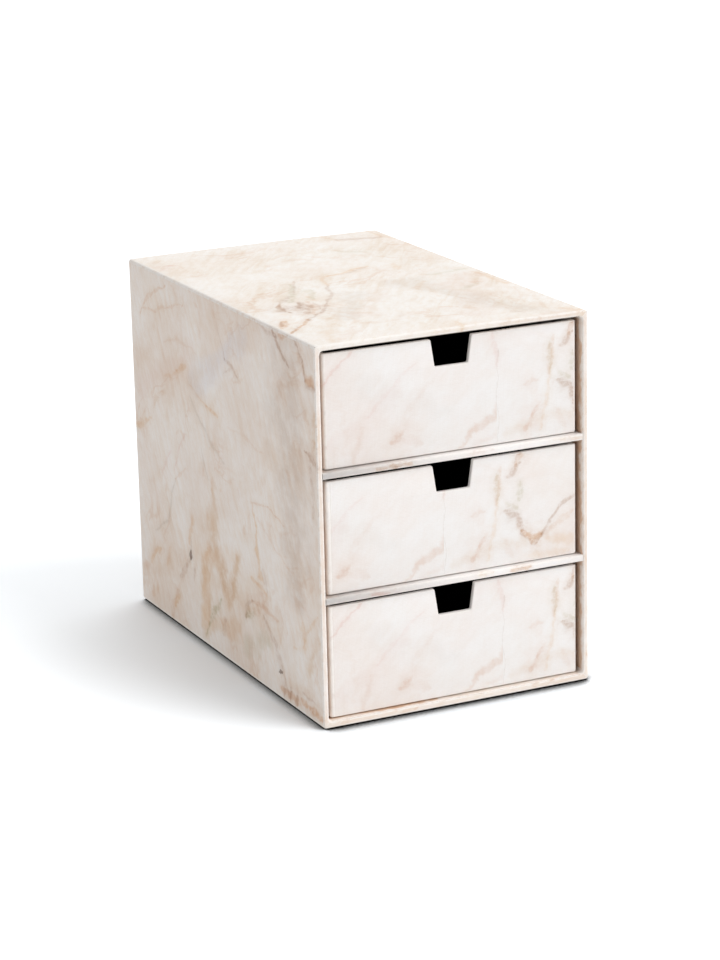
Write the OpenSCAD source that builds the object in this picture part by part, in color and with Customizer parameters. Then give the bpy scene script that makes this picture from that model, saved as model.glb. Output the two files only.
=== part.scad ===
// Desktop chest of three paper-covered drawers.
// X is the width, -Y the front, +Z up. The origin is the middle of the underside.

/* [Case] */
// Outer width of the case
case_w = 143; // [110:1:260]
// Outer depth of the case, front to back
case_d = 226; // [150:1:320]
// Outer height of the case
case_h = 185; // [140:1:320]
// Radius of the case's four long edges
case_edge_r = 1.5; // [0.8:0.1:2.4]

/* [Boards and papers] */
// Thickness of the greyboard of the sides, top and back
wall_board = 2.4; // [1.5:0.1:4]
// Thickness of the greyboard of the base and the shelves
shelf_board = 2.8; // [1.5:0.1:4]
// Thickness of the greyboard of the drawers
drawer_board = 2; // [1:0.1:3]
// Thickness of the wrap and lining papers
paper = 0.25; // [0.15:0.05:0.4]
// How far the wrap is turned over an edge
turn_in = 15; // [15:1:20]
// Bare margin between an edge and the cover sheet glued over the turned wrap
cover_margin = 3; // [2:0.5:5]
// Radius of a shelf's wrapped front edge
shelf_edge_r = 0.9; // [0.5:0.1:1.2]

/* [Drawers] */
// Gap between a drawer and the case at each side
side_gap = 2.2; // [0.8:0.1:4]
// Gap above a drawer
top_gap = 2; // [1:0.1:4]
// Gap under a drawer
slide_gap = 0.3; // [0.2:0.05:0.6]
// How far the drawer fronts sit behind the case's front edge
front_recess = 2.7; // [0:0.1:6]
// Gap behind a drawer
back_gap = 2; // [1:0.5:6]
// Radius of a drawer's upright edges
drawer_edge_r = 1.5; // [0.8:0.1:1.9]

/* [Finger notch] */
// Width of the notch at the drawer's rim
notch_top_w = 21.5; // [16:0.5:40]
// Width of the notch at its floor
notch_floor_w = 17.4; // [12:0.5:36]
// Depth of the notch below the rim
notch_depth = 13.3; // [8:0.1:14]

/* [Hidden] */
BAYS = ["lower", "middle", "upper"];
DRAWER_PIECES = [
    "front_board", "back_board", "left_board", "right_board",
    "floor_board", "wrap", "lining", "underside_cover"
];
$fn = 48;

// Colours
marble = "#EFE5DD";
greyboard = "#9B948A";
dark_paper = "#2B2A2C";

// Reach of a cutter past the face it opens
past = 1;

// Width of the turned-over border, with the thickness of the sheet that stands on its edge
border = turn_in + paper;

// The case's walls and its clear inside
front_y = -case_d / 2;
wall_t = paper + wall_board + paper;
base_t = 2 * paper + shelf_board + paper;
shelf_t = paper + shelf_board + paper;
clear_w = case_w - 2 * wall_t;
clear_top = case_h - wall_t;
clear_back = case_d / 2 - 2 * paper - wall_board - paper;
lining_y = front_y + border;
bay_count = len(BAYS);
bay_h = (clear_top - base_t - (bay_count - 1) * shelf_t) / bay_count;
bay_pitch = bay_h + shelf_t;

// A drawer, measured from the middle of its own front face's bottom edge
drawer_w = clear_w - 2 * side_gap;
drawer_h = bay_h - slide_gap - top_gap;
drawer_d = clear_back - back_gap - front_y - front_recess;
drawer_wall = paper + drawer_board + paper;
drawer_floor = 2 * paper + drawer_board + paper;
drawer_turn_z = drawer_h - border;

// The inner faces of a drawer's boards
inner_x = drawer_w / 2 - drawer_wall + paper;
inner_y0 = drawer_wall - paper;
inner_y1 = drawer_d - drawer_wall + paper;

// A plain sheet or panel between two corners
module slab(low, high) {
    translate(low) cube(high - low);
}

// A box centred on X from y0 to y1 and z0 to z1
module centred(w, y0, y1, z0, z1) {
    slab([-w / 2, y0, z0], [w / 2, y1, z1]);
}

// A rectangle centred on X, resting on the X axis, with rounded corners
module rounded_rectangle(w, h, r) {
    translate([-w / 2 + r, 0]) square([w - 2 * r, h]);
    translate([-w / 2, r]) square([w, h - 2 * r]);
    for (x = [-w / 2 + r, w / 2 - r], y = [r, h - r])
        translate([x, y]) circle(r);
}

// A bar along Y whose four long edges are rounded
module case_bar(w, y0, y1, z0, z1, r) {
    translate([0, y1, z0]) rotate([90, 0, 0])
        linear_extrude(y1 - y0) rounded_rectangle(w, z1 - z0, r);
}

// An upright block whose four upright edges are rounded
module drawer_block(w, y0, y1, z0, z1, r) {
    translate([0, y0, z0]) linear_extrude(z1 - z0) rounded_rectangle(w, y1 - y0, r);
}

// Everything under the case's paper: the outer form of its boards
module case_core() {
    case_bar(case_w - 2 * paper, front_y + paper, case_d / 2 - 2 * paper,
        2 * paper, case_h - paper, case_edge_r - paper);
}

// One panel of the case, cut from the core
module case_panel(low, high) {
    color(greyboard) intersection() {
        case_core();
        slab(low, high);
    }
}

module case_left_board() {
    case_panel([-case_w, front_y, base_t - paper], [-case_w / 2 + wall_t - paper, case_d, clear_top + paper]);
}

module case_right_board() {
    case_panel([case_w / 2 - wall_t + paper, front_y, base_t - paper], [case_w, case_d, clear_top + paper]);
}

module case_top_board() {
    case_panel([-case_w, -case_d, clear_top + paper], [case_w, case_d, case_h]);
}

module case_base_board() {
    case_panel([-case_w, -case_d, 0], [case_w, case_d, base_t - paper]);
}

module case_back_board() {
    x = clear_w / 2 + paper;
    case_panel([-x, clear_back + paper, base_t - paper], [x, case_d, clear_top + paper]);
}

// The height of the underside of shelf i, counted from the lowest
function shelf_z(i) = base_t + bay_h + i * bay_pitch;

// A slab across the case whose front edge is rounded above and below
module nosed_slab(w, y0, y1, z0, z1, r) {
    centred(w, y0 + r, y1, z0, z1);
    centred(w, y0, y0 + r, z0 + r, z1 - r);
    for (z = [z0 + r, z1 - r])
        translate([-w / 2, y0 + r, z]) rotate([0, 90, 0]) cylinder(r = r, h = w);
}

module shelf_board(i) {
    color(greyboard) nosed_slab(clear_w, front_y + paper, clear_back,
        shelf_z(i) + paper, shelf_z(i) + shelf_t - paper, shelf_edge_r - paper);
}

// The sheet folded round a shelf's front edge, over its top and under it
module shelf_wrap(i) {
    z0 = shelf_z(i);
    z1 = z0 + shelf_t;
    color(marble) difference() {
        nosed_slab(clear_w, front_y, clear_back, z0, z1, shelf_edge_r);
        nosed_slab(clear_w + 2 * past, front_y + paper, clear_back + past,
            z0 + paper, z1 - paper, shelf_edge_r - paper);
    }
}

// The outer sheet: a skin on the core, open at the front, and bare behind its turned edges
module case_wrap() {
    color(marble) difference() {
        case_bar(case_w, front_y, case_d / 2 - paper, paper, case_h, case_edge_r);
        difference() {
            case_core();
            centred(clear_w + 2 * paper, front_y, lining_y, base_t - paper, clear_top + paper);
        }
        centred(clear_w, front_y - past, lining_y + past, base_t, clear_top);
        centred(case_w - 2 * border, case_d / 2 - 2 * paper, case_d, border, case_h - border);
        centred(case_w - 2 * border, front_y + border, case_d / 2 - border, 0, 2 * paper);
    }
}

// The sheet over the turned edges at the back, pressed flat between them
module case_back_cover() {
    m = cover_margin;
    color(marble) {
        centred(case_w - 2 * m, case_d / 2 - paper, case_d / 2, m, case_h - m);
        centred(case_w - 2 * border, case_d / 2 - 2 * paper, case_d / 2 - paper, border, case_h - border);
    }
}

// The sheet over the turned edges under the base: the case stands on it
module case_base_cover() {
    m = cover_margin;
    color(dark_paper) {
        centred(case_w - 2 * m, front_y + m, case_d / 2 - m, 0, paper);
        centred(case_w - 2 * border, front_y + border, case_d / 2 - border, paper, 2 * paper);
    }
}

// The lining starts behind the turned front edge
module case_side_lining(side) {
    x = side * clear_w / 2;
    color(dark_paper) slab([min(x, x + side * paper), lining_y, base_t - paper],
        [max(x, x + side * paper), clear_back + paper, clear_top + paper]);
}

module case_ceiling_lining() {
    color(dark_paper) centred(clear_w, lining_y, clear_back + paper, clear_top, clear_top + paper);
}

module case_floor_lining() {
    color(dark_paper) centred(clear_w, lining_y, clear_back + paper, base_t - paper, base_t);
}

module case_back_lining() {
    color(dark_paper) centred(clear_w, clear_back, clear_back + paper, base_t, clear_top);
}

// The notch as an upright trapezoid cutter, wider all round by grow
module notch(y0, y1, grow) {
    slope = (notch_top_w - notch_floor_w) / 2 / notch_depth;
    top_x = notch_top_w / 2 + past * slope + grow;
    floor_x = notch_floor_w / 2 + grow;
    translate([0, y1, drawer_h]) rotate([90, 0, 0]) linear_extrude(y1 - y0)
        polygon([
            [-floor_x, -notch_depth - grow], [floor_x, -notch_depth - grow],
            [top_x, past], [-top_x, past]
        ]);
}

// Everything under a drawer's paper: the outer form of its boards
module drawer_core() {
    drawer_block(drawer_w - 2 * paper, paper, drawer_d - paper,
        2 * paper, drawer_h - paper, drawer_edge_r - paper);
}

// One board of a drawer, cut from the core
module drawer_panel(low, high) {
    color(greyboard) intersection() {
        drawer_core();
        slab(low, high);
    }
}

module drawer_front_board() {
    difference() {
        drawer_panel([-drawer_w, 0, 0], [drawer_w, inner_y0, drawer_h]);
        notch(-past, inner_y0 + past, paper);
    }
}

module drawer_back_board() {
    drawer_panel([-drawer_w, inner_y1, 0], [drawer_w, drawer_d, drawer_h]);
}

module drawer_left_board() {
    drawer_panel([-drawer_w, inner_y0, 0], [-inner_x, inner_y1, drawer_h]);
}

module drawer_right_board() {
    drawer_panel([inner_x, inner_y0, 0], [drawer_w, inner_y1, drawer_h]);
}

module drawer_floor_board() {
    drawer_panel([-inner_x, inner_y0, 0], [inner_x, inner_y1, drawer_floor - paper]);
}

// The space inside the boards, narrowed all round by a number of papers
module drawer_inside(papers, z0, z1) {
    t = papers * paper;
    slab([-inner_x + t, inner_y0 + t, z0], [inner_x - t, inner_y1 - t, z1]);
}

// A drawer's outer sheet: over the rim, down inside it, under the floor and round the notch
module drawer_wrap() {
    color(marble) difference() {
        drawer_block(drawer_w, 0, drawer_d, paper, drawer_h, drawer_edge_r);
        difference() {
            drawer_core();
            difference() {
                drawer_inside(0, drawer_turn_z, drawer_h);
                drawer_inside(1, drawer_turn_z - past, drawer_h + past);
            }
            notch(-past, drawer_wall + past, paper);
        }
        drawer_inside(1, drawer_floor, drawer_h + past);
        centred(drawer_w - 2 * border, border, drawer_d - border, 0, 2 * paper);
        notch(-past, drawer_wall + past, 0);
    }
}

// A drawer's lining: a tray of paper up to the turned-in sheet
module drawer_lining() {
    color(dark_paper) difference() {
        drawer_inside(0, drawer_floor - paper, drawer_turn_z);
        drawer_inside(1, drawer_floor, drawer_turn_z + past);
    }
}

// The sheet that a drawer slides on
module drawer_underside_cover() {
    m = cover_margin;
    color(dark_paper) {
        centred(drawer_w - 2 * m, m, drawer_d - m, 0, paper);
        centred(drawer_w - 2 * border, border, drawer_d - border, paper, 2 * paper);
    }
}

// Places a drawer's piece in bay i, counted from the lowest
module in_bay(i) {
    translate([0, front_y + front_recess, base_t + slide_gap + i * bay_pitch]) children();
}

case_left_board();
case_right_board();
case_top_board();
case_base_board();
case_back_board();
shelf_board(0);  // lower_shelf_board
shelf_board(1);  // upper_shelf_board
shelf_wrap(0);  // lower_shelf_wrap
shelf_wrap(1);  // upper_shelf_wrap
case_wrap();
case_back_cover();
case_base_cover();
case_side_lining(-1);  // case_left_lining
case_side_lining(1);  // case_right_lining
case_ceiling_lining();
case_floor_lining();
case_back_lining();
for (i = [0 : bay_count - 1]) {
    drawer = str(BAYS[i], "_drawer_");
    in_bay(i) drawer_front_board();
    in_bay(i) drawer_back_board();
    in_bay(i) drawer_left_board();
    in_bay(i) drawer_right_board();
    in_bay(i) drawer_floor_board();
    in_bay(i) drawer_wrap();
    in_bay(i) drawer_lining();
    in_bay(i) drawer_underside_cover();
}
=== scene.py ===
import math
import bmesh
import bpy
import numpy
from mathutils import Matrix, Vector


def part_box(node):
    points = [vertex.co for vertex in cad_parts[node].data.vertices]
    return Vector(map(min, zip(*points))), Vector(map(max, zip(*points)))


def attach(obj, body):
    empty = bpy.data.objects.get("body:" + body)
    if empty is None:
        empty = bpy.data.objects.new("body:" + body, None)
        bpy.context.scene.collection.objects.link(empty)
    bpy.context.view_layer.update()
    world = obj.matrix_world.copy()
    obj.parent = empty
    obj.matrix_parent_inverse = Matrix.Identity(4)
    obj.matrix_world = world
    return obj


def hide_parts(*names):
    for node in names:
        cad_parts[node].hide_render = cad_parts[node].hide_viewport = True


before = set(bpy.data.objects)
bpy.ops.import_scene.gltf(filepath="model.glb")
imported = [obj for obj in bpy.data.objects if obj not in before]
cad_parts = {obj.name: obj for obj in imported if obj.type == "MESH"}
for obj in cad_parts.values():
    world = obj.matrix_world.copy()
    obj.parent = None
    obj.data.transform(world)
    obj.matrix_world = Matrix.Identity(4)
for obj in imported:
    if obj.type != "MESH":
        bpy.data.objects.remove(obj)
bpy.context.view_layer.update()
mm = 0.001

bays = ["lower", "middle", "upper"]


# ---- nodes ----

def linearColour(text):
    # a colour written as on screen, such as "#EFE5DD", in the values that a shader works with
    parts = [int(text[i:i + 2], 16) / 255 for i in (1, 3, 5)]
    return [p / 12.92 if p <= 0.04045 else ((p + 0.055) / 1.055) ** 2.4 for p in parts] + [1]


def feed(socket, value):
    if isinstance(value, bpy.types.NodeSocket):
        socket.id_data.links.new(value, socket)
    elif isinstance(value, str):
        socket.default_value = linearColour(value)
    else:
        socket.default_value = value


def addNode(tree, kind, feeds={}, **settings):
    # feeds goes by a socket's name or number to a constant or another node's output
    made = tree.nodes.new("ShaderNode" + kind)
    for name, value in settings.items():
        setattr(made, name, value)
    for name, value in feeds.items():
        feed(made.inputs[name], value)
    return made


def calc(tree, operation, *values, clamp=False):
    return addNode(tree, "Math", dict(enumerate(values)), operation=operation, use_clamp=clamp).outputs[0]


def product(tree, first, *others):
    for other in others:
        first = calc(tree, "MULTIPLY", first, other)
    return first


def vectorCalc(tree, operation, *values, output="Vector"):
    return addNode(tree, "VectorMath", dict(enumerate(values)), operation=operation).outputs[output]


def scaled(tree, vector, factor):
    return addNode(tree, "VectorMath", {0: vector, "Scale": factor}, operation="SCALE").outputs[0]


def ramp(tree, value, start, end, low=0.0, high=1.0, smooth=True):
    feeds = {"Value": value, "From Min": start, "From Max": end, "To Min": low, "To Max": high}
    shape = "SMOOTHSTEP" if smooth else "LINEAR"
    return addNode(tree, "MapRange", feeds, interpolation_type=shape).outputs[0]


def blendColour(tree, factor, first, second, blend="MIX"):
    feeds = {0: factor, 6: first, 7: second}
    return addNode(tree, "Mix", feeds, data_type="RGBA", blend_type=blend).outputs[2]


def noise(tree, vector, scale, detail=2.0, rough=0.5, twist=0.0, output=0):
    feeds = {"Vector": vector, "Scale": scale, "Detail": detail, "Roughness": rough, "Distortion": twist}
    return addNode(tree, "TexNoise", feeds).outputs[output]


def newGroup(name, takes, gives):
    # takes and gives go by a kind of socket to the names of those sockets
    tree = bpy.data.node_groups.new(name, "ShaderNodeTree")
    for way, sockets in (("INPUT", takes), ("OUTPUT", gives)):
        for kind, labels in sockets.items():
            for label in labels:
                tree.interface.new_socket(label, in_out=way, socket_type="NodeSocket" + kind)
    return tree, tree.nodes.new("NodeGroupInput").outputs, tree.nodes.new("NodeGroupOutput").inputs


def useGroup(tree, group, feeds):
    return addNode(tree, "Group", feeds, node_tree=group).outputs


def makeWanderGroup():
    # shifts places on the sheet a little, so that printed lines wander as in stone
    tree, given, out = newGroup("printWander", {"Vector": ["Place"], "Float": ["Amount"]},
                                {"Vector": ["Place"]})
    place = given["Place"]
    moved = place
    for scale, share in ((34, 1.0), (120, 0.46), (430, 0.22)):
        swing = vectorCalc(tree, "SUBTRACT", noise(tree, place, scale, 1, output="Color"), (0.5, 0.5, 0.5))
        amount = product(tree, given["Amount"], 2 * share)
        moved = vectorCalc(tree, "ADD", moved, scaled(tree, swing, amount))
    feed(out["Place"], vectorCalc(tree, "MULTIPLY", moved, (1, 1, 0)))
    return tree


def makeGroundGroup():
    # the pale printed ground: cool white with rosy and sandy clouds, long faint streaks and hair-thin veins
    tree, given, out = newGroup("marbleGround", {
        "Vector": ["Place"], "Color": ["White", "Rose", "Sand"],
        "Float": ["Rose Amount", "Sand Amount", "Streak Angle", "Streak Amount", "Filaments", "Mottle"],
    }, {"Color": ["Color"]})
    place = given["Place"]
    rose = ramp(tree, noise(tree, place, 17, 4, 0.56, 0.8), 0.36, 0.66)
    sandPlace = vectorCalc(tree, "ADD", place, (3.7, 1.3, 0))
    sand = ramp(tree, noise(tree, sandPlace, 22, 6, 0.60, 0.6), 0.42, 0.66)
    turned = addNode(tree, "VectorRotate", {"Vector": place, "Angle": given["Streak Angle"]},
                     rotation_type="Z_AXIS").outputs[0]
    longPlace = vectorCalc(tree, "MULTIPLY", turned, (26, 190, 1))
    streak = ramp(tree, noise(tree, longPlace, 1, 4, 0.62, 0.5), 0.42, 0.70)
    patch = ramp(tree, noise(tree, vectorCalc(tree, "ADD", place, (8.1, 5.2, 0)), 30, 2, 0.5), 0.40, 0.62)
    streak = product(tree, streak, patch, given["Streak Amount"])
    ridge = noise(tree, vectorCalc(tree, "ADD", turned, (1.9, 6.4, 0)), 15, 5, 0.56, 0.9)
    ridge = calc(tree, "ABSOLUTE", calc(tree, "SUBTRACT", ridge, 0.5))
    hair = product(tree, ramp(tree, ridge, 0.022, 0.0), given["Filaments"], patch)
    colour = blendColour(tree, product(tree, rose, given["Rose Amount"]), given["White"], given["Rose"])
    sandy = product(tree, sand, given["Sand Amount"])
    finePlace = vectorCalc(tree, "MULTIPLY", turned, (120, 320, 1))
    mottle = product(tree, ramp(tree, noise(tree, finePlace, 1, 6, 0.72), 0.40, 0.62), given["Mottle"])
    for amount in (sandy, streak, mottle):
        colour = blendColour(tree, amount, colour, given["Sand"], "MULTIPLY")
    feed(out["Color"], blendColour(tree, hair, colour, "#DDAE7C", "MULTIPLY"))
    return tree


def makeStretchGroup():
    # one stretch of a printed vein: a mask round a straight line whose width changes,
    # with a belly between its ends
    tree, given, out = newGroup("veinStretch", {
        "Vector": ["Place", "Start", "End"],
        "Float": ["Mask", "Start Width", "End Width", "Belly", "Spread", "Softness", "Halo"],
    }, {"Float": ["Mask"]})
    # the mask's minute share of the place makes each stretch wait for the one before it, because
    # many stretches worked out side by side would fill the shader's memory
    place = vectorCalc(tree, "MULTIPLY_ADD", given["Mask"], (1e-9, 1e-9, 0), given["Place"])
    fromStart = vectorCalc(tree, "SUBTRACT", place, given["Start"])
    span = vectorCalc(tree, "SUBTRACT", given["End"], given["Start"])
    along = vectorCalc(tree, "DOT_PRODUCT", fromStart, span, output="Value")
    lengthSquared = vectorCalc(tree, "DOT_PRODUCT", span, span, output="Value")
    share = calc(tree, "DIVIDE", along, lengthSquared, clamp=True)
    aside = vectorCalc(tree, "SUBTRACT", fromStart, scaled(tree, span, share))
    distance = vectorCalc(tree, "LENGTH", aside, output="Value")
    width = ramp(tree, share, 0.0, 1.0, given["Start Width"], given["End Width"], smooth=False)
    belly = product(tree, share, calc(tree, "SUBTRACT", 1.0, share), 4.0)
    width = calc(tree, "MULTIPLY_ADD", belly, given["Belly"], width)
    reach = calc(tree, "DIVIDE", distance, product(tree, width, given["Spread"]))
    core = ramp(tree, reach, 1.0, calc(tree, "SUBTRACT", 1.0, given["Softness"]))
    halo = product(tree, ramp(tree, reach, 3.2, 0.0), given["Halo"])
    mask = calc(tree, "MAXIMUM", core, halo)
    feed(out["Mask"], calc(tree, "MAXIMUM", mask, given["Mask"]))
    return tree


def makeInkGroup():
    # ink laid over the colour under it, the patchier the more grain it has
    tree, given, out = newGroup("veinInk", {
        "Color": ["Color", "Ink"], "Float": ["Mask", "Speckle", "Strength", "Grain"],
    }, {"Color": ["Color"]})
    patchy = ramp(tree, given["Grain"], 0.0, 1.0, 1.0, given["Speckle"], smooth=False)
    amount = product(tree, given["Mask"], patchy, given["Strength"])
    feed(out["Color"], blendColour(tree, amount, given["Color"], given["Ink"], "MULTIPLY"))
    return tree


def makeLinenGroup():
    # the embossed linen: uneven threads passing over and under each other
    tree, given, out = newGroup("linenEmboss", {"Vector": ["Place"], "Float": ["Pitch", "Unevenness"]},
                                {"Float": ["Height", "Hollows"]})
    cells = scaled(tree, given["Place"], calc(tree, "DIVIDE", 1.0, given["Pitch"]))
    slubs = [noise(tree, vectorCalc(tree, "MULTIPLY", cells, stretch), 1)
             for stretch in ((0.06, 0.5, 1), (0.5, 0.06, 1))]
    parts = addNode(tree, "SeparateXYZ", {0: cells}).outputs
    runs = []
    for part, slub in ((parts[0], slubs[1]), (parts[1], slubs[0])):
        sway = product(tree, calc(tree, "SUBTRACT", slub, 0.5), given["Unevenness"])
        runs.append(calc(tree, "ADD", part, sway))
    humps = [ramp(tree, calc(tree, "PINGPONG", run, 0.5), 0.0, 0.5) for run in runs]
    floors = calc(tree, "ADD", calc(tree, "FLOOR", runs[0]), calc(tree, "FLOOR", runs[1]))
    over = calc(tree, "GREATER_THAN", calc(tree, "PINGPONG", floors, 1.0), 0.5)
    woven = ramp(tree, over, 0.0, 1.0, humps[0], humps[1], smooth=False)
    thick = product(tree, woven, ramp(tree, slubs[0], 0.3, 0.7, 0.55, 1.0))
    feed(out["Height"], thick)
    feed(out["Hollows"], ramp(tree, thick, 0.35, 0.05))
    return tree


def makeFoldGroup():
    # rubbing along the folds, where the print thins and pale fibre shows; this paling of every rounded fold
    # is also a painted highlight on the edges
    tree, given, out = newGroup("rubbedFoldAndHighlight", {
        "Color": ["Color", "Fibre And Highlight"], "Vector": ["Place"], "Float": ["Fold", "Amount"],
    }, {"Color": ["Color"], "Float": ["Worn"]})
    patchy = ramp(tree, noise(tree, given["Place"], 240, 4, 0.65), 0.32, 0.56)
    wornAndHighlit = product(tree, patchy, given["Fold"], given["Amount"])
    feed(out["Color"], blendColour(tree, wornAndHighlit, given["Color"], given["Fibre And Highlight"]))
    feed(out["Worn"], wornAndHighlit)
    return tree


wanderGroup = makeWanderGroup()
groundGroup = makeGroundGroup()
stretchGroup = makeStretchGroup()
inkGroup = makeInkGroup()
linenGroup = makeLinenGroup()
foldGroup = makeFoldGroup()
print("node groups made")


# ---- the print ----

# Inks of the marble print: colour at full strength on white paper, how soft its rim is,
# how patchy it lies, and how far a pale halo spreads from it
inks = {
    "umber": ("#BF9A7C", 0.8, 0.55, 0.2),
    "rust": ("#DDAE7C", 0.8, 0.5, 0.25),
    "ochre": ("#E7BC7C", 0.9, 0.45, 0.28),
    "olive": ("#B8B17C", 0.9, 0.6, 0.22),
    "smoke": ("#AE987C", 0.9, 0.45, 0.25),
    "rose": ("#DD967C", 0.9, 0.4, 0.3),
    "peach": ("#D9A57C", 0.9, 0.5, 0.3),
    "sand": ("#E0BC8C", 1, 0.7, 0.1),
    "soot": ("#6E5138", 0.6, 0.15, 0.1),
    "haze": ("#EEF3FF", 0.9, 0.4, 0),
    # turnInShade is no ink of the print: it is painted warm shade for the turned-in sheet behind the
    # opening's front edge
    "turnInShade": ("#DDAE7C", 0.5, 0.2, 0),
}

# Veins and stains, by ink: strength, and the points of the line with half its width there (mm).
# On the case's left face the points are the distance from the front edge, and the height.
leftVeins = {
    "smoke": [
        (0.16, (26, 180, 30), (36, 150, 30), (26, 110, 31), (28, 60, 28)),
        (0.2, (110, 102, 1.8), (138, 118, 2.2)), (0.2, (138, 118, 2), (150, 127, 1.8)),
        (0.18, (131, 90, 1.8), (138, 105, 1.6)),
        (0.24, (174, 80, 1.5), (180, 71, 1.7), (184, 56, 1.7), (202, 44, 1.7)),
    ],
    "umber": [
        (0.16, (40, 184, 28), (30, 130, 32), (24, 60, 28)), (0.4, (-1, 165, 3.4), (9, 164, 2.2)),
        (0.66, (10, 165, 2), (14, 175, 2.2), (24, 186, 1.9)),
        (0.6, (29, 168, 1.4), (38, 176, 2.3), (48, 186, 2.6)),
        (0.36, (40, 181, 2.4), (52, 181, 2.2), (67, 186, 2.2)),
        (0.6, (-1, 126, 4), (7, 131, 3.2), (13, 134, 1.4)), (0.28, (7, 126, 3), (5, 102, 2.6)),
        (0.44, (88, 151, 1.3), (97, 156, 1.9), (104, 158, 1.7)), (0.24, (104, 158, 1.4), (112, 171, 1.1)),
        (0.22, (95, 154, 1.2), (105, 150, 1)), (0.22, (66, 60, 3), (62, 49, 3)),
        (0.46, (78, 41, 1.8), (86, 36, 2.4), (88, 30, 2.6)), (0.34, (67, 37, 3), (52, 26, 4.2), (39, 4, 4)),
        (0.42, (28, 10, 2), (31, 1, 2.2)), (0.46, (36, 10, 2), (38, 2, 2)),
        (0.36, (44, 9, 2), (46, 2, 1.8)), (0.3, (8, 10, 1.8), (22, 12, 1.6)),
        (0.34, (156, 54, 1.6), (157, 44, 2)), (0.34, (152, 37, 1.8), (154, 30, 2)),
        (0.3, (158, 40, 3), (172, 29, 4.2)), (0.24, (114, 21, 3.4), (118, 12, 4)),
    ],
    "sand": [
        (0.16, (160, 175, 24), (222, 130, 26)), (0.55, (124, 88, 9), (126, 60, 15), (108, 30, 15)),
        (0.55, (98, 56, 9), (104, 34, 9)), (0.2, (172, 40, 14), (215, 18, 14)),
        (0.24, (50, 34, 26), (160, 40, 26)), (0.26, (12, 14, 10), (44, 12, 10)),
        (0.4, (6, 44, 8), (16, 24, 8)), (0.4, (1, 152, 4.4), (4, 136, 4.4)),
        (0.34, (66, 37, 4.5), (84, 35, 4.5)), (0.28, (184, 123, 4.5), (199, 112, 4.5)),
    ],
    "haze": [(0.5, (84, 172, 20), (140, 138, 20))],
    "rose": [
        (0.08, (150, 150, 20), (215, 120, 22)), (0.18, (158, 105, 1.6), (166, 97, 1.6), (174, 85, 1.5)),
        (0.16, (178, 93, 1.6), (192, 79, 1.6)),
    ],
    "ochre": [
        (0.5, (132, 56, 13), (142, 14, 14)), (0.3, (98, 22, 12), (140, 6, 11)),
        (0.16, (98, 58, 17), (150, 50, 17)), (0.42, (152, 66, 5.2), (160, 50, 5)),
        (0.52, (154, 143, 3), (161, 141, 4), (168, 138, 3)), (0.28, (168, 137, 2.2), (182, 132, 1.8)),
        (0.48, (116, 126, 2.4), (122, 127, 3.2), (130, 129, 2)), (0.22, (130, 129, 1.8), (150, 134, 1.6)),
        (0.48, (73, 92, 1.3), (71, 78, 2), (70, 66, 3.6), (69, 56, 6.4)),
        (0.44, (62, 48, 3.4), (79, 53, 2.4)), (0.3, (4, 54, 2), (17, 43, 2.8), (21, 34, 2.4)),
        (0.28, (28, 31, 1.8), (32, 30, 1.6)), (0.3, (20, 48, 3.2), (19, 33, 3.6)),
        (0.3, (132, 40, 3), (136, 12, 4.2)), (0.54, (174, 16, 4.2), (180, 10, 4)),
        (0.3, (184, 40, 3.4), (190, 30, 3.6)), (0.46, (197, 37, 3.2), (206, 32, 3.8), (213, 25, 3.6)),
        (0.22, (205, 12, 4.5), (213, 5, 4.5)), (0.4, (203, 105, 3.2), (213, 100, 4.6), (227, 96, 3.4)),
    ],
    "olive": [
        (0.26, (62, 26, 12), (88, 16, 13)), (0.5, (79, 34, 3.4), (88, 30, 3.2)),
        (0.52, (119, 29, 2.8), (130, 18, 3.8), (141, 4, 3.2)),
    ],
    "rust": [
        (0.66, (0, 168, 6), (8, 166, 4.4)), (0.2, (12, 172, 4.5), (20, 186, 4)),
        (0.62, (29, 184, 3.2), (38, 183, 3)), (0.12, (112, 172, 2.2), (120, 184, 2.6)),
        (0.36, (177, 180, 1.8), (190, 175, 1.8), (200, 169, 2.1), (212, 159, 2.1)),
        (0.32, (155, 174, 1.5), (170, 171, 1.5), (192, 164, 1.7), (210, 161, 2)),
        (0.18, (140, 152, 1.5), (166, 156, 1.7), (182, 151, 1.5)),
        (0.16, (60, 121, 1.8), (86, 124, 1.8), (104, 123, 2)),
        (0.34, (40, 91, 1.3), (60, 94, 1.5), (77, 92, 1.4)),
        (0.2, (30, 69, 1.4), (58, 79, 1.5), (70, 85, 1.3)),
        (0.4, (50, 40, 2.2), (68, 42, 2.6), (80, 40, 3.4)), (0.7, (-1, 5, 4.6), (12, 5, 4.4), (24, 7, 4.6)),
        (0.5, (26, 5, 4.4), (48, 5, 4.4)), (0.16, (163, 36, 2.5), (178, 17, 3)),
        (0.32, (217, 22, 8), (224, 16, 8)), (0.26, (158, 88, 1.5), (166, 83, 1.7), (175, 80, 1.5)),
    ],
    "soot": [(0.75, (46.4, 14.2, 1.1), (50.6, 12.8, 0.8)), (0.8, (157, 45, 1.9), (157.6, 40.5, 2.5))],
    # painted warm shade on the turned-in sheet just behind the front edge, where the gaps beside the drawers
    # lie in shade
    "turnInShade": [(0.62, (-8.4, -60, 4.7), (-8.4, 250, 4.7))],
}

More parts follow.
